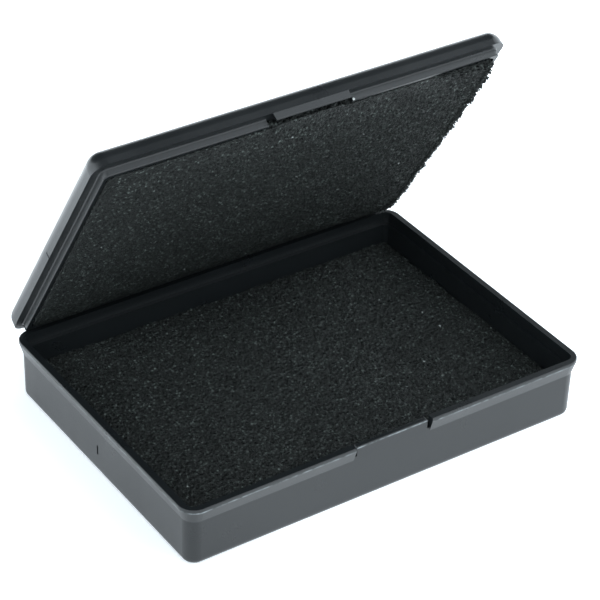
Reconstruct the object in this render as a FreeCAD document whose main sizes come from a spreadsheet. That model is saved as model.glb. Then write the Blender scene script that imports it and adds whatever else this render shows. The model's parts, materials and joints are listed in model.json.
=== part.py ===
# Ink pad: a shallow hinged case moulded in one shot, with an open-cell foam sheet
# in the base and another in the lid.
#
# Row frame, millimetres: the underside of the base lies on Z = 0 and is centred on
# the origin. +X runs to the right along the front edge, +Y towards the hinge, +Z up.
# The lid is drawn closed and its Placement then turns it open about the hinge line.

import FreeCAD, Part
import math
import os
import Sketcher

DIMENSIONS = (
    # outer case
    ("case_width", 118.0, "overall width along the hinge"),
    ("case_depth", 85.0, "overall depth, front to hinge"),
    ("base_height", 17.65, "underside to the top of the rim"),
    ("rim_radius", 4.4, "vertical corner radius at the base's rim"),
    # base wall, from the foot up
    ("foot_draft", 0.7, "draft of the lower wall, degrees"),
    ("foot_round", 1.8, "rounding of the bottom edge"),
    ("flare_level", 13.35, "height at which the wall starts to flare"),
    ("flare_rise", 3.3, "height of the slanted flare"),
    ("flare_reach", 1.0, "how far the flare stands out"),
    ("flare_root", 0.9, "radius where the wall turns into the flare"),
    ("rim_round", 0.3, "rounding of the rim's outer top edge"),
    # inside of the base
    ("mouth_inset", 1.8, "outside of the rim to the wide upper mouth"),
    ("mouth_radius", 1.9, "vertical corner radius of the mouth"),
    ("mouth_drop", 3.1, "depth of the mouth, rim to inner ledge"),
    ("well_inset", 3.0, "outside of the rim to the well that holds the foam"),
    ("well_radius", 1.6, "vertical corner radius of the well"),
    ("floor_thick", 1.8, "thickness of the floor"),
    # latch tongue of the base, and the recess it stands in
    ("recess_width", 22.7, "width of the recess in the front flare"),
    ("tongue_width", 21.0, "width of the tongue between its two slots"),
    ("tongue_thick", 1.4, "thickness of the tongue"),
    ("tongue_drop", 0.6, "how far the tongue's top lies below the rim"),
    ("slot_depth", 3.3, "depth of the slots beside the tongue, from the rim"),
    # lid
    ("lid_radius", 3.9, "vertical corner radius of the lid"),
    ("lid_height", 4.9, "parting plane to the top of the closed lid"),
    ("lid_draft", 3.0, "draft of the lid's wall, degrees"),
    ("lid_round", 3.4, "rounding of the lid's top edges"),
    ("roof_thick", 1.4, "thickness of the lid's flat top"),
    ("ring_inset", 2.3, "outside of the lid to the locating ring"),
    ("ring_thick", 1.2, "thickness of the locating ring"),
    ("ring_drop", 1.9, "how far the ring stands below the parting plane"),
    ("ring_draft", 3.5, "draft of the outer faces of the ring and the flap, degrees"),
    ("ring_root", 0.4, "radius at the foot of the ring"),
    ("ring_round", 0.25, "rounding of the ring's and the flap's outer free edge"),
    ("ring_gap", 24.0, "break in the ring behind the latch flap"),
    ("flap_width", 21.6, "width of the latch flap"),
    ("flap_inset", 0.05, "outside of the lid to the latch flap"),
    ("flap_thick", 0.75, "thickness of the latch flap"),
    # witness grooves at mid-length of the left walls
    ("groove_width", 0.6, "width of a witness groove"),
    ("groove_depth", 0.15, "depth of a witness groove"),
    ("groove_length", 2.8, "height of the groove on the base wall"),
    ("groove_level", 5.85, "height of its lower end"),
    ("groove_shift", 1.5, "distance of the groove behind mid-depth"),
    # film hinge
    ("hinge_reach", 0.4, "rim's back edge to the hinge line"),
    ("rim_gap", 0.4, "gap between the two rims when closed"),
    ("web_radius", 0.75, "outer radius of the bent film"),
    ("web_width", 110.0, "length of the film along the hinge"),
    ("open_angle", 58.0, "how far the lid stands open, degrees"),
    # foam sheets
    ("foam_gap", 0.15, "clearance between a foam sheet and the walls"),
    ("base_foam_thick", 7.55, "thickness of the sheet in the base"),
    ("lid_foam_proud", 5.0, "how far the lid's sheet stands out of the lid"),
    ("foam_radius", 1.4, "vertical corner radius of both sheets"),
    ("foam_round", 1.5, "rounding of the lid sheet's free edges"),
)

SHEET = "Dimensions"


def make_sheet(doc):
    """Spreadsheet of the driving dimensions, one aliased cell each."""
    sheet = doc.addObject("Spreadsheet::Sheet", SHEET)
    for row, (alias, value, note) in enumerate(DIMENSIONS, start=1):
        sheet.set("A%d" % row, note)
        sheet.set("B%d" % row, str(value))
        sheet.setAlias("B%d" % row, alias)
    doc.recompute()
    return sheet


def cells(expression):
    """Write every dimension named in an expression as a reference to the sheet."""
    words = []
    for word in expression.replace("(", "( ").replace(")", " )").split():
        known = any(word == alias for alias, _, _ in DIMENSIONS)
        words.append("%s.%s" % (SHEET, word) if known else word)
    return " ".join(words)


def new_body(doc, label):
    body = doc.addObject("PartDesign::Body", label)
    body.Label = label
    return body


def origin_plane(body, role):
    return next(item for item in body.Origin.OriginFeatures if item.Role == role)


def new_sketch(body, name, role="XY_Plane", level=None):
    """Sketch on one of the body's own origin planes, raised by an expression."""
    sketch = body.newObject("Sketcher::SketchObject", name)
    sketch.AttachmentSupport = [(origin_plane(body, role), "")]
    sketch.MapMode = "FlatFace"
    if level is not None:
        sketch.setExpression("AttachmentOffset.Base.z", cells(level))
    return sketch


def name_constraint(sketch, index, name, expression):
    sketch.renameConstraint(index, name)
    sketch.setExpression("Constraints.%s" % name, cells(expression))


def rounded_outline(body, name, level, width, depth, radius, guess=(100.0, 70.0, 2.0)):
    """Closed rounded rectangle centred on the origin."""
    sketch = new_sketch(body, name, level=level)
    half_x, half_y, corner = guess[0] / 2, guess[1] / 2, guess[2]
    flat_x, flat_y = half_x - corner, half_y - corner
    up = FreeCAD.Vector(0, 0, 1)
    ends = (
        ((-flat_x, -half_y), (flat_x, -half_y)),
        ((half_x, -flat_y), (half_x, flat_y)),
        ((flat_x, half_y), (-flat_x, half_y)),
        ((-half_x, flat_y), (-half_x, -flat_y)),
    )
    for start, stop in ends:
        line = Part.LineSegment(FreeCAD.Vector(*start, 0), FreeCAD.Vector(*stop, 0))
        sketch.addGeometry(line, False)
    centres = ((flat_x, -flat_y), (flat_x, flat_y), (-flat_x, flat_y), (-flat_x, -flat_y))
    for turn, centre in enumerate(centres):
        circle = Part.Circle(FreeCAD.Vector(*centre, 0), up, corner)
        first = (turn - 1) * math.pi / 2
        sketch.addGeometry(Part.ArcOfCircle(circle, first, first + math.pi / 2), False)
    for side in range(4):
        arc = 4 + side
        sketch.addConstraint(Sketcher.Constraint("Tangent", side, 2, arc, 1))
        sketch.addConstraint(Sketcher.Constraint("Tangent", arc, 2, (side + 1) % 4, 1))
    for side, kind in enumerate(("Horizontal", "Vertical", "Horizontal", "Vertical")):
        sketch.addConstraint(Sketcher.Constraint(kind, side))
    for arc in (5, 6, 7):
        sketch.addConstraint(Sketcher.Constraint("Equal", 4, arc))
    sketch.addConstraint(Sketcher.Constraint("Symmetric", 4, 3, 6, 3, -1, 1))
    index = sketch.addConstraint(Sketcher.Constraint("DistanceX", 3, 1, 1, 1, guess[0]))
    name_constraint(sketch, index, "width", width)
    index = sketch.addConstraint(Sketcher.Constraint("DistanceY", 0, 1, 2, 2, guess[1]))
    name_constraint(sketch, index, "depth", depth)
    index = sketch.addConstraint(Sketcher.Constraint("Radius", 4, corner))
    name_constraint(sketch, index, "radius", radius)
    return sketch


def rectangle(body, name, level, left, right, front, back, guess, role="XY_Plane"):
    """Closed rectangle whose four sides lie at signed distances from the origin."""
    sketch = new_sketch(body, name, role=role, level=level)
    low_x, high_x, low_y, high_y = guess
    corners = ((low_x, low_y), (high_x, low_y), (high_x, high_y), (low_x, high_y))
    for side in range(4):
        start = FreeCAD.Vector(*corners[side], 0)
        stop = FreeCAD.Vector(*corners[(side + 1) % 4], 0)
        sketch.addGeometry(Part.LineSegment(start, stop), False)
    for side in range(4):
        sketch.addConstraint(Sketcher.Constraint("Coincident", side, 2, (side + 1) % 4, 1))
    for side, kind in enumerate(("Horizontal", "Vertical", "Horizontal", "Vertical")):
        sketch.addConstraint(Sketcher.Constraint(kind, side))
    places = (
        ("left", "DistanceX", 0, 1, low_x, left),
        ("right", "DistanceX", 0, 2, high_x, right),
        ("front", "DistanceY", 0, 1, low_y, front),
        ("back", "DistanceY", 2, 1, high_y, back),
    )
    for label, kind, line, end, value, expression in places:
        index = sketch.addConstraint(Sketcher.Constraint(kind, -1, 1, line, end, value))
        name_constraint(sketch, index, label, expression)
    return sketch


def extrude(body, kind, name, sketch, length, reverse=False, taper=None):
    """Pad or Pocket of one sketch."""
    feature = body.newObject("PartDesign::%s" % kind, name)
    feature.Profile = sketch
    feature.Type = 0
    feature.Reversed = reverse
    feature.setExpression("Length", cells(length))
    if taper is not None:
        feature.setExpression("TaperAngle", cells(taper))
    body.Document.recompute()
    return feature


def edges_where(feature, test):
    """Names of the feature's edges whose bounding box passes the test."""
    names = []
    for number, edge in enumerate(feature.Shape.Edges, start=1):
        if test(edge.BoundBox):
            names.append("Edge%d" % number)
    if not names:
        raise RuntimeError("no edge found on %s" % feature.Label)
    return names


def round_edges(body, name, base, test, radius):
    fillet = body.newObject("PartDesign::Fillet", name)
    fillet.Base = (base, edges_where(base, test))
    fillet.setExpression("Radius", cells(radius))
    body.Document.recompute()
    return fillet


def at_level(level, slack=0.01):
    """Test for an edge that lies in a horizontal plane."""
    return lambda box: abs(box.ZMin - level) < slack and abs(box.ZMax - level) < slack


def make_base_tray(doc, size):
    """Deep half of the case: drafted wall, flared rim, inner ledge and latch tongue."""
    body = new_body(doc, "base_tray")
    foot_inset = "flare_reach + flare_level * tan( foot_draft * 1deg )"
    outline = rounded_outline(
        body, "FootOutline", "0",
        "case_width - 2 * ( %s )" % foot_inset,
        "case_depth - 2 * ( %s )" % foot_inset,
        "rim_radius - ( %s )" % foot_inset)
    foot = extrude(body, "Pad", "Foot", outline, "flare_level", taper="foot_draft * 1deg")
    outline = rounded_outline(
        body, "FlareOutline", "flare_level",
        "case_width - 2 * flare_reach",
        "case_depth - 2 * flare_reach",
        "rim_radius - flare_reach")
    extrude(body, "Pad", "Flare", outline, "flare_rise", taper="atan( flare_reach / flare_rise )")
    outline = rounded_outline(
        body, "LipOutline", "flare_level + flare_rise",
        "case_width", "case_depth", "rim_radius")
    lip = extrude(body, "Pad", "Lip", outline, "base_height - flare_level - flare_rise")
    bottom = round_edges(body, "BottomRound", lip, at_level(0.0), "foot_round")
    root = round_edges(body, "FlareRoot", bottom, at_level(size.flare_level), "flare_root")
    top = round_edges(body, "RimRound", root, at_level(size.base_height), "rim_round")

    outline = rounded_outline(
        body, "MouthOutline", "base_height",
        "case_width - 2 * mouth_inset",
        "case_depth - 2 * mouth_inset",
        "mouth_radius")
    extrude(body, "Pocket", "Mouth", outline, "mouth_drop")
    outline = rounded_outline(
        body, "WellOutline", "base_height",
        "case_width - 2 * well_inset",
        "case_depth - 2 * well_inset",
        "well_radius")
    extrude(body, "Pocket", "Well", outline, "base_height - floor_thick")

    # The flare stops on both sides of the latch, where the wall is also slotted.
    half_guess = 11.8
    outline = rectangle(
        body, "FlareRecessOutline", "base_height",
        "0 - recess_width / 2", "recess_width / 2",
        "0 - case_depth / 2 - 1", "flare_reach - case_depth / 2",
        (-half_guess, half_guess, -43.5, -41.0))
    extrude(body, "Pocket", "FlareRecess", outline, "base_height - flare_level + flare_root")
    outline = rectangle(
        body, "WallRecessOutline", "base_height",
        "0 - recess_width / 2", "recess_width / 2",
        "0 - case_depth / 2 - 1", "well_inset - case_depth / 2 + 0.5",
        (-half_guess, half_guess, -43.5, -39.0))
    extrude(body, "Pocket", "WallRecess", outline, "slot_depth")
    outline = rectangle(
        body, "TongueOutline", "base_height - slot_depth",
        "0 - tongue_width / 2", "tongue_width / 2",
        "flare_reach - case_depth / 2", "flare_reach + tongue_thick - case_depth / 2",
        (-10.5, 10.5, -41.0, -39.6))
    tongue = extrude(body, "Pad", "Tongue", outline, "slot_depth - tongue_drop")
    round_edges(
        body, "TongueRound", tongue,
        at_level(size.base_height - size.tongue_drop), "rim_round")

    # A short moulded groove stands upright on the left wall, at mid-depth.
    outline = rectangle(
        body, "GrooveOutline", "groove_level",
        "0 - case_width / 2 - 1", "flare_reach + groove_depth + 0.2 - case_width / 2",
        "groove_shift - groove_width / 2", "groove_shift + groove_width / 2",
        (-60.0, -57.0, 1.2, 1.8))
    extrude(body, "Pocket", "WitnessGroove", outline, "groove_length", reverse=True)
    return body


def make_lid_shell(doc, size, turned_open):
    """Shallow half of the case: rounded top, flat parting face, ring and latch flap."""
    body = new_body(doc, "lid_shell")
    parting = "base_height + rim_gap"
    outline = rounded_outline(
        body, "CoverOutline", parting, "case_width", "case_depth", "lid_radius")
    cover = extrude(body, "Pad", "Cover", outline, "lid_height", taper="lid_draft * -1deg")
    top_level = size.base_height + size.rim_gap + size.lid_height
    cover = round_edges(body, "TopRound", cover, at_level(top_level), "lid_round")

    outline = rounded_outline(
        body, "RingOutline", parting,
        "case_width - 2 * ring_inset",
        "case_depth - 2 * ring_inset",
        "lid_radius - ring_inset")
    ring = extrude(
        body, "Pad", "Ring", outline, "ring_drop", reverse=True, taper="ring_draft * -1deg")
    parting_level = size.base_height + size.rim_gap
    ring_x = size.case_width / 2 - size.ring_inset
    ring_y = size.case_depth / 2 - size.ring_inset

    def ring_foot(box):
        flat = at_level(parting_level)(box)
        inside_x = max(-box.XMin, box.XMax) < ring_x + 0.01
        return flat and inside_x and max(-box.YMin, box.YMax) < ring_y + 0.01

    root = round_edges(body, "RingRoot", ring, ring_foot, "ring_root")
    tip = at_level(parting_level - size.ring_drop)
    round_edges(body, "RingRound", root, tip, "ring_round")
    outline = rounded_outline(
        body, "CavityOutline", parting + " - ring_drop",
        "case_width - 2 * ( ring_inset + ring_thick )",
        "case_depth - 2 * ( ring_inset + ring_thick )",
        "well_radius")
    extrude(
        body, "Pocket", "Cavity", outline,
        "ring_drop + lid_height - roof_thick", reverse=True)

    # The ring is broken at the latch, where a flap stands further out instead.
    outline = rectangle(
        body, "RingGapOutline", parting,
        "0 - ring_gap / 2", "ring_gap / 2",
        "0 - case_depth / 2 - 1", "ring_inset + ring_thick - case_depth / 2 + 0.2",
        (-12.0, 12.0, -43.5, -38.8))
    extrude(body, "Pocket", "RingGap", outline, "ring_drop + 1")
    outline = rectangle(
        body, "FlapOutline", parting,
        "0 - flap_width / 2", "flap_width / 2",
        "flap_inset - case_depth / 2", "flap_inset + flap_thick - case_depth / 2",
        (-10.8, 10.8, -42.2, -41.2))
    flap = extrude(
        body, "Pad", "LatchFlap", outline, "ring_drop", reverse=True, taper="ring_draft * -1deg")
    drafted = size.ring_drop * math.tan(math.radians(size.ring_draft))
    flap_front = size.flap_inset + drafted - size.case_depth / 2

    def flap_tip(box):
        return tip(box) and abs(box.YMin - flap_front) < 0.01 and box.YLength < 0.01

    round_edges(body, "FlapRound", flap, flap_tip, "ring_round")

    outline = rectangle(
        body, "GrooveOutline", parting,
        "0 - case_width / 2 - 1", "groove_depth - case_width / 2",
        "groove_shift - groove_width / 2", "groove_shift + groove_width / 2",
        (-60.0, -58.7, 1.2, 1.8))
    extrude(body, "Pocket", "WitnessGroove", outline, "lid_height / 3", reverse=True)
    body.Placement = turned_open
    return body


def make_hinge_web(doc, size):
    """Film hinge: a thin strip bent about the hinge line, from rim to rim."""
    body = new_body(doc, "hinge_web")
    sketch = new_sketch(body, "WebSection", role="YZ_Plane")
    axis_y = size.case_depth / 2 + size.hinge_reach
    axis_z = size.base_height + size.rim_gap / 2
    centre = FreeCAD.Vector(axis_y, axis_z, 0)
    opened = math.radians(size.open_angle)
    inner = math.hypot(size.hinge_reach, size.rim_gap / 2)
    inner_turn = math.atan2(size.rim_gap / 2, size.hinge_reach)
    outer_turn = math.acos(size.hinge_reach / size.web_radius)
    normal = FreeCAD.Vector(0, 0, 1)
    arcs = ((inner, inner_turn), (size.web_radius, outer_turn))
    for radius, turn in arcs:
        circle = Part.Circle(centre, normal, radius)
        start = math.pi + turn
        stop = 3 * math.pi - turn - opened
        sketch.addGeometry(Part.ArcOfCircle(circle, start, stop), False)
    ends = []
    for radius, turn in arcs:
        for angle in (math.pi + turn, 3 * math.pi - turn - opened):
            reach = FreeCAD.Vector(radius * math.cos(angle), radius * math.sin(angle), 0)
            ends.append(centre + reach)
    sketch.addGeometry(Part.LineSegment(ends[0], ends[2]), False)
    sketch.addGeometry(Part.LineSegment(ends[1], ends[3]), False)
    joins = ((0, 1, 2, 1), (1, 1, 2, 2), (0, 2, 3, 1), (1, 2, 3, 2), (0, 3, 1, 3))
    for join in joins:
        sketch.addConstraint(Sketcher.Constraint("Coincident", *join))
    sketch.addConstraint(Sketcher.Constraint("Vertical", 2))
    drives = (
        ("axis_y", ("DistanceX", -1, 1, 0, 3, axis_y), "case_depth / 2 + hinge_reach"),
        ("axis_z", ("DistanceY", -1, 1, 0, 3, axis_z), "base_height + rim_gap / 2"),
        ("rim_y", ("DistanceX", -1, 1, 0, 1, size.case_depth / 2), "case_depth / 2"),
        ("rim_z", ("DistanceY", -1, 1, 0, 1, size.base_height), "base_height"),
        ("outer", ("Radius", 1, size.web_radius), "web_radius"),
        ("lean", ("Angle", 3, math.pi / 2 - opened), "( 90 - open_angle ) * 1deg"),
        ("offset", ("Distance", 0, 3, 3, size.hinge_reach), "hinge_reach"),
    )
    for name, constraint, expression in drives:
        index = sketch.addConstraint(Sketcher.Constraint(*constraint))
        name_constraint(sketch, index, name, expression)
    pad = extrude(body, "Pad", "Web", sketch, "web_width")
    pad.Midplane = True
    return body


def make_base_foam(doc):
    """Foam sheet that lies on the floor of the base."""
    body = new_body(doc, "base_foam")
    outline = rounded_outline(
        body, "SheetOutline", "floor_thick",
        "case_width - 2 * ( well_inset + foam_gap )",
        "case_depth - 2 * ( well_inset + foam_gap )",
        "foam_radius")
    extrude(body, "Pad", "Sheet", outline, "base_foam_thick")
    return body


def make_lid_foam(doc, size, turned_open):
    """Thicker foam sheet in the lid, which stands proud of the parting plane."""
    body = new_body(doc, "lid_foam")
    outline = rounded_outline(
        body, "SheetOutline", "base_height + rim_gap - lid_foam_proud",
        "case_width - 2 * ( ring_inset + ring_thick + foam_gap )",
        "case_depth - 2 * ( ring_inset + ring_thick + foam_gap )",
        "foam_radius + foam_round")
    sheet = extrude(
        body, "Pad", "Sheet", outline, "lid_foam_proud + lid_height - roof_thick")
    free_level = size.base_height + size.rim_gap - size.lid_foam_proud
    round_edges(body, "FreeEdge", sheet, at_level(free_level), "foam_round")
    body.Placement = turned_open
    return body


class Sizes:
    """The sheet's values, read back for geometry that is looked up or placed."""

    def __init__(self, sheet):
        for alias, _, _ in DIMENSIONS:
            setattr(self, alias, float(sheet.get(alias)))


def open_placement(size):
    """Turn about the hinge line that carries the closed lid to its open place."""
    hinge_y = size.case_depth / 2 + size.hinge_reach
    hinge_z = size.base_height + size.rim_gap / 2
    hinge = FreeCAD.Vector(0, hinge_y, hinge_z)
    turn = FreeCAD.Rotation(FreeCAD.Vector(-1, 0, 0), size.open_angle)
    return FreeCAD.Placement(FreeCAD.Vector(0, 0, 0), turn, hinge)


def check(doc, bodies):
    for item in doc.Objects:
        if "Invalid" in item.State or "Error" in item.State:
            raise RuntimeError("%s failed to compute" % item.Label)
    for body in bodies:
        if body.Shape.isNull() or not body.Shape.isValid():
            raise RuntimeError("%s has no valid shape" % body.Label)
        if len(body.Shape.Solids) != 1:
            raise RuntimeError("%s is not one solid" % body.Label)


def main():
    doc = FreeCAD.newDocument("ink_pad")
    size = Sizes(make_sheet(doc))
    turned_open = open_placement(size)
    bodies = (
        make_base_tray(doc, size),
        make_lid_shell(doc, size, turned_open),
        make_hinge_web(doc, size),
        make_base_foam(doc),
        make_lid_foam(doc, size, turned_open),
    )
    doc.recompute()
    check(doc, bodies)
    os.makedirs("parts", exist_ok=True)
    for body in bodies:
        body.Shape.exportStep("parts/%s.step" % body.Label)
        box = body.Shape.BoundBox
        print("%-10s volume %9.1f  x %7.2f %7.2f  y %7.2f %7.2f  z %7.2f %7.2f" % (
            body.Label, body.Shape.Volume,
            box.XMin, box.XMax, box.YMin, box.YMax, box.ZMin, box.ZMax))


main()
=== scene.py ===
"""Ink pad: a hinged satin plastic case with an open-cell foam sheet in each half.

The moulded halves keep their engineering shape and get a moulded polypropylene finish.
The film hinge and the two foam sheets are modelled here. Lengths are in metres, in the
engineering frame: the underside of the base is Z = 0, +X runs to the right along the
front edge, +Y runs towards the hinge.
"""

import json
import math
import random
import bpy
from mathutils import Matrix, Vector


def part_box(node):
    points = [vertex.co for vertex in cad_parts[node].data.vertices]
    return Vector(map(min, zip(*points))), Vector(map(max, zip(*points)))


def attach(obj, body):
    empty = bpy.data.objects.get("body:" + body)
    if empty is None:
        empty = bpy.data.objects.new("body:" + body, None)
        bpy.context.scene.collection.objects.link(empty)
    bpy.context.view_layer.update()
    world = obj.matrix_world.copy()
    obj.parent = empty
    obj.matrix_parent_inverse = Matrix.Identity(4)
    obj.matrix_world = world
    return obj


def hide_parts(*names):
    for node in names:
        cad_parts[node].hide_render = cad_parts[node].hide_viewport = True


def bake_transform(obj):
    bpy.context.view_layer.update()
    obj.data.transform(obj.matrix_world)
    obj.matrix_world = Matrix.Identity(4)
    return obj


bl_info = {
    "name": "Ink Pad Builder",
    "version": (1, 0, 0),
    "blender": (4, 5, 0),
    "location": "View3D > Sidebar > Ink Pad",
    "description": "Finishes the case, cuts the foam sheets and sets the stage of an ink pad",
    "category": "Add Mesh",
}

import bmesh
import bpy
from bpy.props import FloatProperty, FloatVectorProperty, IntProperty, PointerProperty
from mathutils import Matrix, Vector, noise

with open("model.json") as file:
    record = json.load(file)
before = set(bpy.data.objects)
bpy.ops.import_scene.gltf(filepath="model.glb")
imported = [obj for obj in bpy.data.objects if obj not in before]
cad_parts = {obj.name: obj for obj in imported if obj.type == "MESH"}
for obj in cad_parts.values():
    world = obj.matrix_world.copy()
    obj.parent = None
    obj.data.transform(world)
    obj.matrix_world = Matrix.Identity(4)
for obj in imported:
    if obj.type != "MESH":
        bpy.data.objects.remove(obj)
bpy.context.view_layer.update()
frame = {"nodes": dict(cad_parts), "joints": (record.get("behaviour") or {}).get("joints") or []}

MM = 0.001
JOINT = frame["joints"][0]
HINGE = Vector(JOINT["pos_m"])
HINGE_AXIS = Vector(JOINT["axis"])
# The joint's low limit is the closed lid, so it tells how far the lid stands open.
OPEN_ANGLE = -math.radians(JOINT["range_deg"][0])

FOAM_FINISH = "Polyurethane foam, open cell, cut"
# Height over which a sheet's hidden side stays plain, from the face it is glued by.
HIDDEN_DEPTH = 0.4 * MM
# bmesh operators run over the whole mesh they are given, so crumbs are made this many at a time.
CRUMB_BATCH = 60


def linear(colour):
    """Scene-linear RGBA from an sRGB hex value such as 0x5C626A."""
    channels = []
    for shift in (16, 8, 0):
        value = ((colour >> shift) & 255) / 255
        if value <= 0.04045:
            channels.append(value / 12.92)
        else:
            channels.append(((value + 0.055) / 1.055) ** 2.4)
    return (*channels, 1.0)


def hex_property(name, description, colour):
    """Colour property whose default is an sRGB hex value."""
    return FloatVectorProperty(
        name=name, description=description, subtype="COLOR", size=4,
        min=0.0, max=1.0, default=linear(colour))


def length_property(name, description, millimetres):
    """Length property whose default is given in millimetres."""
    return FloatProperty(
        name=name, description=description, unit="LENGTH", subtype="DISTANCE",
        precision=5, min=0.0, default=millimetres * MM)


class InkPadCaseSettings(bpy.types.PropertyGroup):
    """Finish of the two moulded halves."""

    body_colour: hex_property("Body", "Colour of the moulded plastic", 0x16191B)
    dark_colour: hex_property("Dark swirl", "Darker streaks of the pigment", 0x101314)
    # Painted highlight: pale colour of the broken line along the base's rim edge.
    rim_highlight_colour: hex_property("Rim highlight", "Line rubbed pale on the base's rim", 0x7C8284)
    dust_colour: hex_property("Dust", "Specks of dust on the plastic", 0xB4B8B6)
    lip_height: length_property("Lip", "Height of the upright lip above the base's flare", 1.0)
    grain: length_property("Grain", "Width of the spark-eroded grain", 0.3)
    dust_spacing: length_property("Dust spacing", "Typical distance between two specks", 13.0)
    roughness: FloatProperty(
        name="Roughness", description="Roughness of the satin surface",
        min=0.0, max=1.0, default=0.3)


class InkPadHingeSettings(bpy.types.PropertyGroup):
    """Thin film that joins the two halves."""

    thickness: length_property("Thickness", "Thickness of the film", 0.32)
    outer_radius: length_property("Radius", "Outer radius of the bent film", 0.75)
    flex_colour: hex_property("Flex mark", "Plastic that has gone pale from bending", 0x2E3335)
    steps: IntProperty(
        name="Steps", description="Facets round the bend", min=6, max=64, default=28)


class InkPadFoamSettings(bpy.types.PropertyGroup):
    """Open-cell foam of both sheets."""

    strut_colour: hex_property("Struts", "Colour of the foam's struts", 0x262A28)
    # Painted shade: the colour that deep spots in the cells darken to.
    pore_shade_colour: hex_property("Pore shade", "Colour deep inside the cells", 0x0B0D0D)
    lint_colour: hex_property("Lint", "Dust and lint caught in the foam", 0x9AA09E)
    cell: length_property("Cell", "Distance from one cell to the next", 1.15)
    strut: length_property("Strut", "Thickness of a strut", 0.12)
    # Spacing of the glints painted into the struts' colour.
    glint: length_property("Glint", "Distance between two struts cut bright", 0.85)
    pore_depth: length_property("Pore depth", "How deep a cut cell reaches", 0.9)
    base_corner: length_property("Base corner", "Corner radius of the base's sheet", 1.4)
    lid_corner: length_property("Lid corner", "Corner radius of the lid's sheet", 2.6)
    lid_edge: length_property("Lid edge", "Radius along the free edge of the lid's sheet", 1.5)
    detail: length_property("Detail", "Spacing of the modelled surface", 0.25)
    swell: length_property("Swell", "Slow unevenness of a sheet's face", 0.3)
    seat: length_property("Seat", "Width over which the lid's sheet rises from its ring", 13.0)
    ring_height: length_property("Ring height", "Height of the lid's ring", 1.9)
    gap: length_property("Ring gap", "Break in the lid's ring at the latch", 24.0)
    bulge: length_property("Bulge", "How far the lid's sheet swells through that break", 0.9)
    ledge_drop: length_property("Ledge", "Base's inner ledge below the lid's ring, shut", 1.3)
    ledge_width: length_property("Ledge width", "How far that ledge reaches inwards", 1.25)
    tear: length_property("Tear", "Roughness of the lid sheet's torn end", 1.0)
    fray: length_property("Fray", "Width of the crumbled strip along the torn end", 4.0)
    crumbs: IntProperty(
        name="Crumbs", description="Cut struts and crumbs along the torn end",
        min=0, max=4000, default=2600)


class InkPadStageSettings(bpy.types.PropertyGroup):
    """Floor, light and camera."""

    floor_colour: hex_property("Floor", "Colour of the floor", 0xFAFAFA)
    light_colour: FloatVectorProperty(
        name="Light", description="Colour of the daylight lamps", subtype="COLOR", size=4,
        min=0.0, max=1.0, default=(0.86, 0.94, 1.0, 1.0))
    glow: FloatProperty(
        name="Glow", description="Light that the floor gives of itself", min=0.0, default=0.87)
    horizon: FloatProperty(
        name="Surround", description="Brightness of the tent's walls", min=0.0, default=1.65)
    shoulder: FloatProperty(
        name="Shoulder", description="Brightness of the tent's wall just below its roof",
        min=0.0, default=3.4)
    overhead: FloatProperty(
        name="Overhead", description="Brightness of the tent's dim roof", min=0.0, default=0.16)
    roof_lean: FloatProperty(
        name="Roof lean", description="How far the dim roof leans to the back",
        subtype="ANGLE", default=math.radians(30.0))
    azimuth: FloatProperty(
        name="Azimuth", description="Camera's turn from the front, less than zero to the left",
        subtype="ANGLE", default=math.radians(-34.887))
    elevation: FloatProperty(
        name="Elevation", description="Camera's height above the horizon",
        subtype="ANGLE", default=math.radians(34.388))
    roll: FloatProperty(
        name="Roll", description="Camera's turn about its own axis",
        subtype="ANGLE", default=math.radians(1.899))
    distance: length_property("Distance", "Camera to the middle of the case", 630.64)
    across: length_property("Across", "Middle of the view, to the right of the case", 1.014)
    above: length_property("Above", "Middle of the view, above the case's underside", 26.43)
    lens: FloatProperty(
        name="Lens", description="Focal length, in millimetres", min=1.0, default=146.508)


def lid_turn():
    """Turn about the hinge line that carries the closed lid to where it stands open."""
    turn = Matrix.Rotation(OPEN_ANGLE, 4, HINGE_AXIS)
    return Matrix.Translation(HINGE) @ turn @ Matrix.Translation(-HINGE)


def node_box(node, matrix):
    """Lowest and highest corner of an engineering node once matrix has moved it."""
    points = [matrix @ vertex.co for vertex in frame["nodes"][node].data.vertices]
    low = Vector([min(point[axis] for point in points) for axis in range(3)])
    high = Vector([max(point[axis] for point in points) for axis in range(3)])
    return low, high


def smooth_step(value, start, stop):
    """0 before start, 1 after stop, and an even S between them."""
    share = min(1.0, max(0.0, (value - start) / (stop - start)))
    return share * share * (3.0 - 2.0 * share)


def link_piece(name, mesh):
    """New object in the scene, at the origin."""
    piece = bpy.data.objects.new(name, mesh)
    bpy.context.scene.collection.objects.link(piece)
    return piece


def piece_from(name, bm):
    """Object at the origin that holds the bmesh, which is then freed."""
    mesh = bpy.data.meshes.new(name)
    bm.to_mesh(mesh)
    bm.free()
    return link_piece(name, mesh)


def freeze(piece):
    """Make the piece's modifiers part of its mesh."""
    graph = bpy.context.evaluated_depsgraph_get()
    finished = bpy.data.meshes.new_from_object(piece.evaluated_get(graph))
    finished.name = piece.name
    piece.modifiers.clear()
    piece.data = finished


def add_node(tree, kind, inputs=None, **settings):
    """Add one node, set its properties, and set or link its inputs."""
    node = tree.nodes.new(kind)
    for name, value in settings.items():
        setattr(node, name, value)
    for name, value in (inputs or {}).items():
        if isinstance(value, bpy.types.NodeSocket):
            tree.links.new(value, node.inputs[name])
        else:
            node.inputs[name].default_value = value
    return node


def new_material(name):
    """Empty node material with its output; returns the material, tree and output."""
    material = bpy.data.materials.new(name)
    material.use_nodes = True
    material.node_tree.nodes.clear()
    output = add_node(material.node_tree, "ShaderNodeOutputMaterial")
    return material, material.node_tree, output


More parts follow.
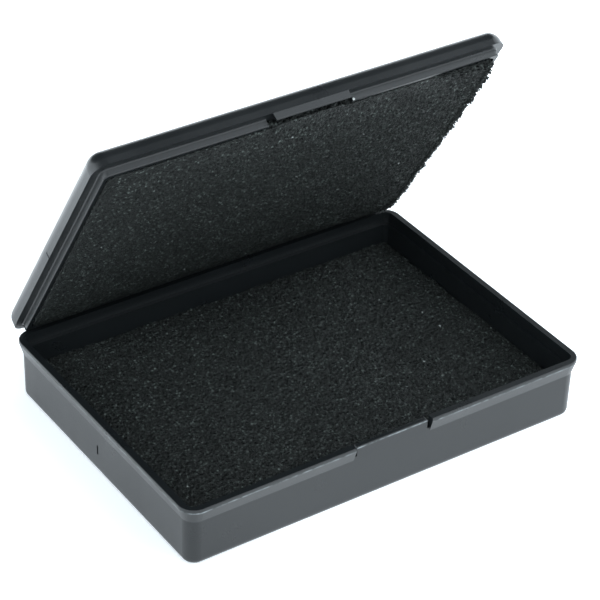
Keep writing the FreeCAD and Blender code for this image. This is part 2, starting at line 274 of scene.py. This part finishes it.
def moulded_polypropylene(name, settings, highlight_level=1.0, flex=None):
    """Polypropylene, injection moulded against a spark-eroded tool.

    The eye sees a satin charcoal with a fine grain, faint flow streaks of the pigment,
    slight sink waves that make reflections waver, a few dust specks, and a painted
    highlight: a broken pale line along the edge of the base's rim that stands out most.
    The third argument is the height of that painted highlight, 1 m and so nowhere if not given;
    flex is a paler colour for plastic that has been bent.
    """
    material, tree, output = new_material(name)
    place = add_node(tree, "ShaderNodeTexCoord").outputs["Object"]

    # Pigment streaks, about 9 mm wide and drawn out along the flow.
    stretched = add_node(tree, "ShaderNodeMapping", {
        "Vector": place, "Scale": (0.35, 1.0, 1.0)})
    streaks = add_node(tree, "ShaderNodeTexNoise", {
        "Vector": stretched.outputs["Vector"], "Scale": 1 / (9 * MM),
        "Detail": 3.0, "Roughness": 0.55})
    pigment = add_node(tree, "ShaderNodeMix", {
        "Factor": streaks.outputs["Fac"],
        "A": settings.dark_colour, "B": flex or settings.body_colour}, data_type="RGBA")

    # Painted highlight: a broken pale line along the edge that stands out most, on the outside,
    # where its rounding would catch the light; noise breaks it up like scuffs.
    parts = add_node(tree, "ShaderNodeSeparateXYZ", {"Vector": place})
    above = add_node(tree, "ShaderNodeMath", {
        0: parts.outputs["Z"], 1: highlight_level}, operation="SUBTRACT")
    away = add_node(tree, "ShaderNodeMath", {0: above.outputs["Value"]}, operation="ABSOLUTE")
    line = add_node(tree, "ShaderNodeMapRange", {
        "Value": away.outputs["Value"], "From Min": 0.28 * MM, "From Max": 0.08 * MM})
    outward = add_node(tree, "ShaderNodeVectorMath", {
        0: place, 1: add_node(tree, "ShaderNodeTexCoord").outputs["Normal"]},
        operation="DOT_PRODUCT")
    outside = add_node(tree, "ShaderNodeMapRange", {
        "Value": outward.outputs["Value"], "From Min": 0.0, "From Max": 5 * MM})
    highlight_breaks = add_node(tree, "ShaderNodeTexNoise", {
        "Vector": place, "Scale": 1 / (2.5 * MM), "Detail": 6.0, "Roughness": 0.7})
    broken = add_node(tree, "ShaderNodeMapRange", {
        "Value": highlight_breaks.outputs["Fac"], "From Min": 0.4, "From Max": 0.62})
    edge = add_node(tree, "ShaderNodeMath", {
        0: line.outputs["Result"], 1: outside.outputs["Result"]}, operation="MULTIPLY")
    rim_highlight = add_node(tree, "ShaderNodeMath", {
        0: edge.outputs["Value"], 1: broken.outputs["Result"]}, operation="MULTIPLY")
    highlit = add_node(tree, "ShaderNodeMix", {
        "Factor": rim_highlight.outputs["Value"],
        "A": pigment.outputs["Result"], "B": settings.rim_highlight_colour}, data_type="RGBA")

    # Dust: specks 0.2 to 0.4 mm across, far apart.
    cells = add_node(tree, "ShaderNodeTexVoronoi", {
        "Vector": place, "Scale": 1 / settings.dust_spacing})
    speck = add_node(tree, "ShaderNodeMapRange", {
        "Value": cells.outputs["Distance"], "From Min": 0.032, "From Max": 0.018})
    dusty = add_node(tree, "ShaderNodeMix", {
        "Factor": speck.outputs["Result"],
        "A": highlit.outputs["Result"], "B": settings.dust_colour}, data_type="RGBA")

    # Satin grain from the spark-eroded tool, and handling marks that polish it a little.
    grain = add_node(tree, "ShaderNodeTexNoise", {
        "Vector": place, "Scale": 1 / settings.grain, "Detail": 2.0, "Roughness": 0.6})
    marks = add_node(tree, "ShaderNodeTexNoise", {
        "Vector": place, "Scale": 1 / (14 * MM), "Detail": 4.0, "Roughness": 0.6})
    gloss = add_node(tree, "ShaderNodeMapRange", {
        "Value": marks.outputs["Fac"], "From Min": 0.3, "From Max": 0.7,
        "To Min": settings.roughness - 0.04, "To Max": settings.roughness + 0.05})
    dull = add_node(tree, "ShaderNodeMath", {
        0: speck.outputs["Result"], 1: rim_highlight.outputs["Value"]}, operation="MAXIMUM")
    rough = add_node(tree, "ShaderNodeMix", {
        "Factor": dull.outputs["Value"], "A": gloss.outputs["Result"], "B": 0.6})

    # Sink waves of a thin moulding, some 18 mm long and a few hundredths of a mm deep.
    waves = add_node(tree, "ShaderNodeTexNoise", {
        "Vector": place, "Scale": 1 / (18 * MM), "Detail": 1.0})
    sink = add_node(tree, "ShaderNodeBump", {
        "Height": waves.outputs["Fac"], "Strength": 0.5, "Distance": 0.12 * MM})
    tooth = add_node(tree, "ShaderNodeBump", {
        "Height": grain.outputs["Fac"], "Strength": 0.5, "Distance": 0.04 * MM,
        "Normal": sink.outputs["Normal"]})
    surface = add_node(tree, "ShaderNodeBsdfPrincipled", {
        "Base Color": dusty.outputs["Result"], "Roughness": rough.outputs["Result"],
        "IOR": 1.5, "Normal": tooth.outputs["Normal"]})
    tree.links.new(surface.outputs["BSDF"], output.inputs["Surface"])
    return material


def reticulated_foam(settings):
    """Polyester polyurethane foam, open cells, dyed through, cut from a block.

    The eye sees a net of fine struts, most of them dull, over black holes, with a little lint.
    Glints on a few struts and shade that deepens into the cells are painted into the colour.
    """
    material, tree, output = new_material(FOAM_FINISH)
    place = add_node(tree, "ShaderNodeTexCoord").outputs["Object"]
    depth = add_node(tree, "ShaderNodeAttribute", attribute_name="pore")

    # Painted glints: each strut is cut at its own angle, so most of it is painted dull and a few
    # spots, about 0.4 mm wide, are painted bright where they would shine.
    ends = add_node(tree, "ShaderNodeTexVoronoi", {
        "Vector": place, "Scale": 1 / settings.glint})
    dot = add_node(tree, "ShaderNodeMapRange", {
        "Value": ends.outputs["Distance"], "From Min": 0.5, "From Max": 0.18})
    tone = add_node(tree, "ShaderNodeSeparateColor", {"Color": ends.outputs["Color"]})
    angle = add_node(tree, "ShaderNodeMath", {0: tone.outputs["Red"], 1: 2.0}, operation="POWER")
    shine = add_node(tree, "ShaderNodeMath", {
        0: dot.outputs["Result"], 1: angle.outputs["Value"]}, operation="MULTIPLY")
    shade = add_node(tree, "ShaderNodeMapRange", {
        "Value": shine.outputs["Value"], "To Min": 0.65, "To Max": 6.6})
    strut = add_node(tree, "ShaderNodeMix", {
        "Factor": 1.0, "A": settings.strut_colour, "B": shade.outputs["Result"]},
        data_type="RGBA", blend_type="MULTIPLY")
    # Painted shade: the deeper a spot lies in a cut cell, the more it takes the pore colour.
    pore_shade = add_node(tree, "ShaderNodeMapRange", {
        "Value": depth.outputs["Fac"], "From Min": 0.05, "From Max": 0.6})
    colour = add_node(tree, "ShaderNodeMix", {
        "Factor": pore_shade.outputs["Result"],
        "A": strut.outputs["Result"], "B": settings.pore_shade_colour}, data_type="RGBA")

    # Lint: specks some 0.3 mm across.
    cells = add_node(tree, "ShaderNodeTexVoronoi", {"Vector": place, "Scale": 1 / (11 * MM)})
    speck = add_node(tree, "ShaderNodeMapRange", {
        "Value": cells.outputs["Distance"], "From Min": 0.035, "From Max": 0.02})
    linted = add_node(tree, "ShaderNodeMix", {
        "Factor": speck.outputs["Result"],
        "A": colour.outputs["Result"], "B": settings.lint_colour}, data_type="RGBA")

    # Strands 0.2 mm thick inside each cell, finer than the modelled surface.
    strands = add_node(tree, "ShaderNodeTexVoronoi", {
        "Vector": place, "Scale": 1 / (0.6 * MM)}, feature="DISTANCE_TO_EDGE")
    ridge = add_node(tree, "ShaderNodeMapRange", {
        "Value": strands.outputs["Distance"], "From Min": 0.0, "From Max": 0.25,
        "To Min": 1.0, "To Max": 0.0})
    bump = add_node(tree, "ShaderNodeBump", {
        "Height": ridge.outputs["Result"], "Strength": 0.8, "Distance": 0.15 * MM})
    surface = add_node(tree, "ShaderNodeBsdfPrincipled", {
        "Base Color": linted.outputs["Result"], "Roughness": 0.5, "IOR": 1.5,
        "Specular IOR Level": 0.25, "Normal": bump.outputs["Normal"]})
    tree.links.new(surface.outputs["BSDF"], output.inputs["Surface"])
    return material


def foam_block(low, high, corner_radius, free_round=0.0):
    """Closed slab with rounded upright corners, and a rounded lower edge if asked."""
    bm = bmesh.new()
    bmesh.ops.create_cube(bm, size=1.0)
    bmesh.ops.scale(bm, vec=high - low, verts=bm.verts)
    bmesh.ops.translate(bm, vec=(low + high) / 2, verts=bm.verts)
    upright = [
        edge for edge in bm.edges
        if abs(edge.verts[0].co.z - edge.verts[1].co.z) > (high.z - low.z) / 2]
    bmesh.ops.bevel(
        bm, geom=upright, offset=corner_radius, offset_type="OFFSET", segments=6,
        profile=0.5, affect="EDGES", material=-1)
    if free_round > 0.0:
        lower = [
            edge for edge in bm.edges
            if max(vertex.co.z for vertex in edge.verts) < low.z + 0.01 * MM]
        bmesh.ops.bevel(
            bm, geom=lower, offset=free_round, offset_type="OFFSET", segments=5,
            profile=0.5, affect="EDGES", material=-1)
    return bm


def open_surface(piece, settings, hidden_level, hidden_above):
    """Even fine facets on the visible faces, and one plain face on the hidden side."""
    even = piece.modifiers.new("Even facets", "REMESH")
    even.mode = "VOXEL"
    even.voxel_size = settings.detail
    freeze(piece)
    bm = bmesh.new()
    bm.from_mesh(piece.data)
    everything = bm.verts[:] + bm.edges[:] + bm.faces[:]
    bmesh.ops.bisect_plane(
        bm, geom=everything, plane_co=(0, 0, hidden_level), plane_no=(0, 0, 1),
        clear_outer=hidden_above, clear_inner=not hidden_above)
    rim = [edge for edge in bm.edges if edge.is_boundary]
    bmesh.ops.holes_fill(bm, edges=rim, sides=0)
    bm.to_mesh(piece.data)
    bm.free()


def cut_cells(piece, settings, keep_level, keep_above):
    """Sink the cut cells into the sheet's visible faces and note how deep each spot is."""
    cells = bpy.data.textures.new(piece.name + "_cells", "VORONOI")
    cells.noise_scale = settings.cell
    cells.weight_1 = -1.0
    cells.weight_2 = 1.0
    cells.noise_intensity = 3.4
    before = [vertex.co.copy() for vertex in piece.data.vertices]
    group = piece.vertex_groups.new(name="open")
    side = 1.0 if keep_above else -1.0
    shown = [
        index for index, point in enumerate(before)
        if (point.z - keep_level) * side > 0.3 * MM]
    group.add(shown, 1.0, "REPLACE")
    pores = piece.modifiers.new("Cut cells", "DISPLACE")
    pores.texture = cells
    pores.texture_coords = "LOCAL"
    pores.vertex_group = group.name
    pores.mid_level = 0.0
    pores.strength = -settings.pore_depth
    freeze(piece)
    depth = piece.data.attributes.new("pore", "FLOAT", "POINT")
    for index, vertex in enumerate(piece.data.vertices):
        depth.data[index].value = (vertex.co - before[index]).length / settings.pore_depth
    piece.vertex_groups.clear()


def strut_net(low, high, level, settings, seed):
    """Net of cut struts on a sheet's face: a brick pattern whose corners are shaken."""
    chance = random.Random(seed)
    span = high - low
    columns = 2 * round(span.x / settings.cell)
    rows = round(span.y / (0.87 * settings.cell))
    bm = bmesh.new()
    bmesh.ops.create_grid(bm, x_segments=columns, y_segments=rows, size=0.5)
    parity = {}
    for vertex in bm.verts:
        column = round((vertex.co.x + 0.5) * columns)
        row = round((vertex.co.y + 0.5) * rows)
        parity[vertex] = (column + row) % 2
    # Every other upright edge goes, so three struts meet in each corner, as in foam.
    spare = []
    for edge in bm.edges:
        lower, upper = sorted(edge.verts, key=lambda vertex: vertex.co.y)
        if upper.co.y - lower.co.y > 0.5 / rows and parity[lower] == 0 and not edge.is_boundary:
            spare.append(edge)
    for vertex in bm.verts:
        bend = (0.14 if parity[vertex] else -0.14) * settings.cell
        vertex.co = Vector((
            low.x + (vertex.co.x + 0.5) * span.x + chance.gauss(0.0, 0.16) * settings.cell,
            low.y + (vertex.co.y + 0.5) * span.y + chance.gauss(0.0, 0.16) * settings.cell + bend,
            level + chance.uniform(-0.22, 0.22) * settings.cell))
    bmesh.ops.dissolve_edges(bm, edges=spare, use_verts=False, use_face_split=False)
    bmesh.ops.wireframe(
        bm, faces=bm.faces[:], thickness=settings.strut, offset=0.5, use_replace=True,
        use_boundary=True, use_even_offset=False)
    net = bpy.data.meshes.new("strut net")
    bm.to_mesh(net)
    bm.free()
    return net


def join_meshes(piece, *extras):
    """Add loose meshes to a piece and drop them."""
    bm = bmesh.new()
    bm.from_mesh(piece.data)
    for extra in extras:
        bm.from_mesh(extra)
        bpy.data.meshes.remove(extra)
    bm.to_mesh(piece.data)
    bm.free()


def declare_foam(piece, node, body, settings):
    """Finish and body of a foam sheet; its engineering node is hidden."""
    material = bpy.data.materials.get(FOAM_FINISH)
    if material is None:
        material = reticulated_foam(settings)
    piece.data.materials.clear()
    piece.data.materials.append(material)
    piece.data.shade_smooth()
    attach(piece, body)
    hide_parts(node)


class INKPAD_OT_finish_case(bpy.types.Operator):
    """Give the base and the lid their moulded finish"""

    bl_idname = "inkpad.finish_case"
    bl_label = "Finish Case"

    def execute(self, context):
        settings = context.scene.ink_pad_case
        lip_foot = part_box("base_tray")[1].z - settings.lip_height
        finishes = {
            # The base's painted rim highlight runs at the foot of its lip.
            "base_tray": moulded_polypropylene(
                "Polypropylene, satin moulded, base", settings, highlight_level=lip_foot),
            "lid_shell": moulded_polypropylene(
                "Polypropylene, satin moulded, lid", settings),
        }
        for node, material in finishes.items():
            shell = frame["nodes"][node]
            if not shell.material_slots:
                shell.data.materials.append(material)
            for slot in shell.material_slots:
                slot.material = material
        return {"FINISHED"}


class INKPAD_OT_bend_film(bpy.types.Operator):
    """Bend the film hinge round the hinge line, from rim to rim"""

    bl_idname = "inkpad.bend_film"
    bl_label = "Bend Film Hinge"

    def execute(self, context):
        settings = context.scene.ink_pad_hinge
        low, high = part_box("hinge_web")
        outer = settings.outer_radius
        inner = outer - settings.thickness
        # Angles run about the hinge line from +Y over +Z, and each end is let into its rim.
        base_end = math.radians(204)
        lid_end = math.radians(516) - OPEN_ANGLE
        bm = bmesh.new()
        corners = []
        for across, radius in (
                (low.x, inner), (low.x, outer), (high.x, outer), (high.x, inner)):
            corners.append(bm.verts.new((
                across,
                HINGE.y + radius * math.cos(base_end),
                HINGE.z + radius * math.sin(base_end))))
        strip = bm.faces.new(corners)
        bmesh.ops.spin(
            bm, geom=[strip], cent=HINGE, axis=(1, 0, 0), angle=lid_end - base_end,
            steps=settings.steps, use_merge=False, use_duplicate=False)
        bmesh.ops.recalc_face_normals(bm, faces=bm.faces)
        rims = [
            edge for edge in bm.edges
            if edge.is_manifold and edge.calc_face_angle() > math.radians(60)]
        bmesh.ops.bevel(
            bm, geom=rims, offset=0.06 * MM, offset_type="OFFSET", segments=2,
            profile=0.5, affect="EDGES", material=-1)
        film = piece_from("film_hinge", bm)
        case = context.scene.ink_pad_case
        film.data.materials.append(moulded_polypropylene(
            "Polypropylene, flexed film", case, flex=settings.flex_colour))
        film.data.shade_smooth()
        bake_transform(film)
        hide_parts("hinge_web")
        return {"FINISHED"}


class INKPAD_OT_lay_base_foam(bpy.types.Operator):
    """Cut the foam sheet that lies in the base"""

    bl_idname = "inkpad.lay_base_foam"
    bl_label = "Lay Base Foam"

    def execute(self, context):
        settings = context.scene.ink_pad_foam
        low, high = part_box("base_foam")
        piece = piece_from("base_foam_sheet", foam_block(low, high, settings.base_corner))
        hidden = low.z + HIDDEN_DEPTH
        open_surface(piece, settings, hidden, hidden_above=False)
        cut_cells(piece, settings, hidden, keep_above=True)
        # The net stops at the sheet's edge.
        inset = Vector((0.3, 0.3, 0.0)) * MM
        join_meshes(piece, strut_net(low + inset, high - inset, high.z, settings, seed=3))
        for vertex in piece.data.vertices:
            self.settle(vertex.co, low, high, settings)
        declare_foam(piece, "base_foam", "base", settings)
        return {"FINISHED"}

    def settle(self, point, low, high, settings):
        """Waver of the face and a slight sag along the walls, nothing at the floor."""
        share = smooth_step(point.z, low.z + 1.0 * MM, high.z)
        flat = Vector((point.x, point.y, 0.0))
        wave = noise.noise(flat / (16 * MM)) + 0.5 * noise.noise(flat / (6 * MM))
        edge = min(high.x - abs(point.x), high.y - abs(point.y))
        sag = 0.3 * MM * (1.0 - smooth_step(edge, 0.0, 3 * MM))
        point.z += share * (settings.swell * (wave - 0.5) - sag)


class INKPAD_OT_fill_lid_foam(bpy.types.Operator):
    """Cut the thicker foam sheet in the lid, with its torn right end"""

    bl_idname = "inkpad.fill_lid_foam"
    bl_label = "Fill Lid Foam"

    def execute(self, context):
        settings = context.scene.ink_pad_foam
        low, high = node_box("lid_foam", lid_turn().inverted())
        ring_tip = node_box("lid_shell", lid_turn().inverted())[0].z
        block = foam_block(low, high, settings.lid_corner, settings.lid_edge)
        piece = piece_from("lid_foam_sheet", block)
        hidden = high.z - HIDDEN_DEPTH
        open_surface(piece, settings, hidden, hidden_above=True)
        cut_cells(piece, settings, hidden, keep_above=False)
        # The net stops where the free edge starts to round over.
        inset = Vector((1.7, 1.7, 0.0)) * MM
        join_meshes(piece, strut_net(low + inset, high - inset, low.z, settings, seed=5))
        for vertex in piece.data.vertices:
            self.shape(vertex.co, low, high, ring_tip, settings)
        join_meshes(piece, self.crumble(piece, high, ring_tip, settings))
        piece.data.transform(lid_turn())
        declare_foam(piece, "lid_foam", "lid", settings)
        return {"FINISHED"}

    def shape(self, point, low, high, ring_tip, settings):
        """Slope the free face up from the ring, fill the ring's gap, fray the torn end."""
        self.bulge(point, low, ring_tip, settings)
        proud = ring_tip - point.z
        if proud <= 0.0:
            return
        # The free face climbs from the ring on three sides and keeps its height at the tear.
        seat = settings.seat
        spare = seat * 0.25
        torn = smooth_step(point.x, high.x - 2 * seat, high.x - spare)
        left = smooth_step(point.x, low.x - spare, low.x + seat)
        front = smooth_step(point.y, low.y - spare, low.y + seat)
        hinge = smooth_step(high.y - point.y, -2 * spare, seat)
        rise = left * max(front, 0.8 * torn) * hinge
        # Past its crest near the front it sinks a little, twice, and less so at the tear.
        rise *= 1.0 - (0.16 - 0.1 * torn) * smooth_step(point.y, low.y, low.y + 2 * seat)
        middle = (low.y + high.y) / 2
        rise *= 1.0 - 0.17 * (1.0 - torn) * smooth_step(point.y, middle, high.y - seat)
        flat = Vector((point.x, point.y, 0.0))
        wave = noise.noise(flat / (14 * MM)) + 0.5 * noise.noise(flat / (5 * MM))
        share = proud / (ring_tip - low.z)
        point.z = ring_tip - proud * rise - share * settings.swell * wave
        right = smooth_step(point.x, high.x - 2.5 * MM, high.x)
        if right > 0.0:
            ragged = noise.noise(point / (2.2 * MM)) + 0.7 * noise.noise(point / (0.9 * MM))
            point.x += smooth_step(share, 0.0, 0.5) * right * settings.tear * (0.1 + ragged)
        # What is deep enough to meet the base's inner ledge when shut stays inside it.
        depth = smooth_step(ring_tip - point.z, settings.ledge_drop / 2, settings.ledge_drop)
        end = smooth_step(point.x, high.x - 5 * MM, high.x - 1 * MM)
        point.x -= settings.ledge_width * depth * end

    def bulge(self, point, low, ring_tip, settings):
        """Let the sheet's front swell through the gap in the ring, up to the latch flap."""
        in_gap = 1.0 - smooth_step(abs(point.x), 0.32 * settings.gap, 0.48 * settings.gap)
        near = 1.0 - smooth_step(point.y, low.y, low.y + 5 * MM)
        free = smooth_step(ring_tip + settings.ring_height - point.z, 0.0, 1.0 * MM)
        point.y -= settings.bulge * in_gap * near * free

    def crumble(self, piece, high, ring_tip, settings):
        """Cut struts and crumbs rooted on the torn end, thicker towards its edge."""
        chance = random.Random(7)
        inner_edge = high.x - settings.fray
        roots = []
        for vertex in piece.data.vertices:
            nearness = (vertex.co.x - inner_edge) / settings.fray
            if nearness > 0.0 and vertex.co.z < ring_tip - 0.3 * MM:
                if chance.random() < nearness:
                    roots.append(vertex.co.copy())
        roots = chance.sample(roots, min(settings.crumbs, len(roots)))
        crumbs = bpy.data.meshes.new("crumbs")
        for first in range(0, len(roots), CRUMB_BATCH):
            bm = bmesh.new()
            for root in roots[first:first + CRUMB_BATCH]:
                self.add_crumb(bm, root, chance, settings)
            bm.from_mesh(crumbs)
            bm.to_mesh(crumbs)
            bm.free()
        return crumbs

    def add_crumb(self, bm, root, chance, settings):
        """One cut strut, six in ten of them with a crumb of foam on the end."""
        length = chance.uniform(0.4, 1.1) * MM
        lean = Vector((
            chance.uniform(0.0, 1.0), chance.uniform(-1.0, 1.0), chance.uniform(-1.0, 0.3)))
        lean.normalize()
        aim = lean.to_track_quat("Z", "Y").to_matrix().to_4x4()
        bmesh.ops.create_cone(
            bm, cap_ends=True, segments=4, radius1=0.6 * settings.strut,
            radius2=0.5 * settings.strut, depth=length,
            matrix=Matrix.Translation(root + lean * length * 0.4) @ aim)
        if chance.random() < 0.6:
            squeeze = Matrix.Diagonal((1.0, chance.uniform(0.5, 1.0), 1.0, 1.0))
            tip = Matrix.Translation(root + lean * length * 0.7)
            bmesh.ops.create_icosphere(
                bm, subdivisions=1, radius=chance.uniform(0.14, 0.34) * MM,
                matrix=tip @ aim @ squeeze)


class INKPAD_OT_set_stage(bpy.types.Operator):
    """Floor, surroundings and camera"""

    bl_idname = "inkpad.set_stage"
    bl_label = "Set Stage"

    def execute(self, context):
        settings = context.scene.ink_pad_stage
        self.lay_floor(settings)
        self.light_world(context, settings)
        self.place_camera(context, settings)
        context.scene.view_settings.view_transform = "Standard"
        return {"FINISHED"}

    def lay_floor(self, settings):
        """Sheet of white paper, 8 m wide, that gives some light of itself."""
        bm = bmesh.new()
        bmesh.ops.create_grid(bm, x_segments=1, y_segments=1, size=4.0)
        floor = piece_from("floor", bm)
        # Matt coated paper: no gloss, and bright enough to read as pure white.
        material, tree, output = new_material("Paper sweep, matt white")
        place = add_node(tree, "ShaderNodeTexCoord").outputs["Object"]
        parts = add_node(tree, "ShaderNodeSeparateXYZ", {"Vector": place})
        # Shares of the glow: dim to the left, more in front, and the most behind.
        right = add_node(tree, "ShaderNodeMapRange", {
            "Value": parts.outputs["X"], "From Min": -0.06, "From Max": -0.03,
            "To Min": 0.42, "To Max": 0.85})
        behind = add_node(tree, "ShaderNodeMapRange", {
            "Value": parts.outputs["Y"], "From Min": 0.085, "From Max": 0.24,
            "To Min": 0.0, "To Max": 1.6})
        share = add_node(tree, "ShaderNodeMath", {
            0: right.outputs["Result"], 1: behind.outputs["Result"]}, operation="ADD")
        lit = add_node(tree, "ShaderNodeMath", {
            0: share.outputs["Value"], 1: settings.glow}, operation="MULTIPLY")
        paper = add_node(tree, "ShaderNodeBsdfPrincipled", {
            "Base Color": settings.floor_colour, "Roughness": 0.9,
            "Specular IOR Level": 0.1, "Emission Color": settings.light_colour,
            "Emission Strength": lit.outputs["Value"]})
        tree.links.new(paper.outputs["BSDF"], output.inputs["Surface"])
        floor.data.materials.append(material)

    def light_world(self, context, settings):
        """White tent all round, brightest just under a dim roof that leans to the back."""
        world = bpy.data.worlds.new("Studio tent")
        world.use_nodes = True
        world.node_tree.nodes.clear()
        tree = world.node_tree
        way = add_node(tree, "ShaderNodeTexCoord").outputs["Generated"]
        lean = settings.roof_lean
        toward_roof = add_node(tree, "ShaderNodeVectorMath", {
            0: way, 1: (0.0, math.sin(lean), math.cos(lean))}, operation="DOT_PRODUCT")
        fade = add_node(tree, "ShaderNodeMapRange", {
            "Value": toward_roof.outputs["Value"],
            "From Min": math.cos(math.radians(56)), "From Max": math.cos(math.radians(48))},
            interpolation_type="SMOOTHSTEP")
        upward = add_node(tree, "ShaderNodeMapRange", {
            "Value": toward_roof.outputs["Value"],
            "From Min": math.cos(math.radians(85)), "From Max": math.cos(math.radians(65)),
            "To Min": settings.horizon, "To Max": settings.shoulder},
            interpolation_type="SMOOTHSTEP")
        light = add_node(tree, "ShaderNodeMix", {
            "Factor": fade.outputs["Result"],
            "A": upward.outputs["Result"], "B": settings.overhead})
        sky = add_node(tree, "ShaderNodeBackground", {
            "Color": settings.light_colour, "Strength": light.outputs["Result"]})
        output = add_node(tree, "ShaderNodeOutputWorld")
        tree.links.new(sky.outputs["Background"], output.inputs["Surface"])
        context.scene.world = world

    def place_camera(self, context, settings):
        """Camera that looks down on the case from its front left."""
        turn, lift = settings.azimuth, settings.elevation
        back = Vector((
            math.sin(turn) * math.cos(lift), -math.cos(turn) * math.cos(lift), math.sin(lift)))
        level = Vector((0, 0, 1)).cross(back).normalized()
        upright = back.cross(level)
        right = math.cos(settings.roll) * level + math.sin(settings.roll) * upright
        up = math.cos(settings.roll) * upright - math.sin(settings.roll) * level
        data = bpy.data.cameras.new("camera")
        data.lens = settings.lens
        data.sensor_width = 36.0
        data.clip_start = 0.01
        camera = link_piece("camera", data)
        spot = right * settings.across + up * settings.above + back * settings.distance
        camera.matrix_world = Matrix((
            (right.x, up.x, back.x, spot.x),
            (right.y, up.y, back.y, spot.y),
            (right.z, up.z, back.z, spot.z),
            (0.0, 0.0, 0.0, 1.0)))
        context.scene.camera = camera


BUILD_STEPS = (
    INKPAD_OT_finish_case,
    INKPAD_OT_bend_film,
    INKPAD_OT_lay_base_foam,
    INKPAD_OT_fill_lid_foam,
    INKPAD_OT_set_stage,
)


class INKPAD_PT_panel(bpy.types.Panel):
    """Lists the ink pad's steps in the 3D view's sidebar"""

    bl_idname = "INKPAD_PT_panel"
    bl_label = "Ink Pad"
    bl_space_type = "VIEW_3D"
    bl_region_type = "UI"
    bl_category = "Ink Pad"

    def draw(self, context):
        for step in BUILD_STEPS:
            self.layout.operator(step.bl_idname, text=step.bl_label)


SETTINGS = (
    ("ink_pad_case", InkPadCaseSettings),
    ("ink_pad_hinge", InkPadHingeSettings),
    ("ink_pad_foam", InkPadFoamSettings),
    ("ink_pad_stage", InkPadStageSettings),
)
CLASSES = tuple(group for _, group in SETTINGS) + BUILD_STEPS + (INKPAD_PT_panel,)


def register():
    for item in CLASSES:
        bpy.utils.register_class(item)
    for name, group in SETTINGS:
        setattr(bpy.types.Scene, name, PointerProperty(type=group))


def unregister():
    for name, _ in SETTINGS:
        delattr(bpy.types.Scene, name)
    for item in reversed(CLASSES):
        bpy.utils.unregister_class(item)


def main():
    register()
    bpy.ops.inkpad.finish_case()
    bpy.ops.inkpad.bend_film()
    bpy.ops.inkpad.lay_base_foam()
    bpy.ops.inkpad.fill_lid_foam()
    bpy.ops.inkpad.set_stage()


if __name__ == "__main__":
    main()
